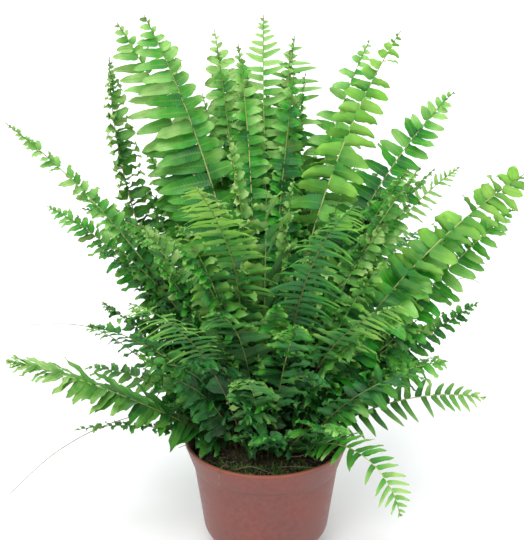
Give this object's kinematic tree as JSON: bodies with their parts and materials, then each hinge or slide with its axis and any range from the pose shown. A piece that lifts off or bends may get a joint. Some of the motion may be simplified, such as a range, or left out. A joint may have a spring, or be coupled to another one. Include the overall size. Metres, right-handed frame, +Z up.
{
  "type": "potted fern",
  "caption": "Bushy sword fern with upright, arching and drooping fronds, rooted in dark soil in a tapered terracotta-coloured plastic nursery pot with a flared collar.",
  "frame": {"origin": "centre of the pot's base, on the surface that it stands on", "axes": "+Z up along the pot's axis; +X to the right and -Y towards the viewer of the plant's best side"},
  "size_m": [0.3859, 0.3135, 0.4008],
  "materials": {
    "pot_plastic": "satin terracotta-coloured moulded plastic, slightly dusty",
    "potting_soil": "dark moist crumbly peat compost with roots, moss and bark",
    "rhizome": "rough brown-green rhizome with old stalk ends and scales",
    "runner": "dry wiry green-tan thread",
    "leaf": "satin fresh green leaflets, paler beneath, on a green-tan stalk",
    "young_leaf": "satin bright yellow-green young leaflets"
  },
  "bodies": {
    "root": {"pot": "pot_plastic", "soil": "potting_soil", "rhizome_crown": "rhizome", "runner_1": "runner", "runner_2": "runner", "runner_3": "runner", "tall_frond_01": "leaf", "tall_frond_02": "leaf", "tall_frond_03": "leaf", "tall_frond_04": "leaf", "tall_frond_05": "leaf", "tall_frond_06": "leaf", "tall_frond_07": "leaf", "tall_frond_08": "leaf", "tall_frond_09": "leaf", "spreading_frond_01": "leaf", "spreading_frond_02": "leaf", "spreading_frond_03": "leaf", "spreading_frond_04": "leaf", "spreading_frond_05": "leaf", "spreading_frond_06": "leaf", "spreading_frond_07": "leaf", "spreading_frond_08": "leaf", "spreading_frond_09": "leaf", "spreading_frond_10": "leaf", "spreading_frond_11": "leaf", "spreading_frond_12": "leaf", "spreading_frond_13": "leaf", "front_frond_01": "leaf", "front_frond_02": "leaf", "front_frond_03": "leaf", "front_frond_04": "leaf", "front_frond_05": "leaf", "front_frond_06": "leaf", "front_frond_07": "leaf", "front_frond_08": "leaf", "front_frond_09": "leaf", "front_frond_10": "leaf", "front_frond_11": "leaf", "front_frond_12": "leaf", "back_frond_01": "leaf", "back_frond_02": "leaf", "back_frond_03": "leaf", "back_frond_04": "leaf", "back_frond_05": "leaf", "back_frond_06": "leaf", "back_frond_07": "leaf", "back_frond_08": "leaf", "back_frond_09": "leaf", "young_frond_01": "young_leaf", "young_frond_02": "young_leaf", "young_frond_03": "young_leaf", "young_frond_04": "young_leaf", "young_frond_05": "young_leaf", "young_frond_06": "young_leaf", "young_frond_07": "young_leaf", "young_frond_08": "young_leaf"}
  },
  "joints": []
}
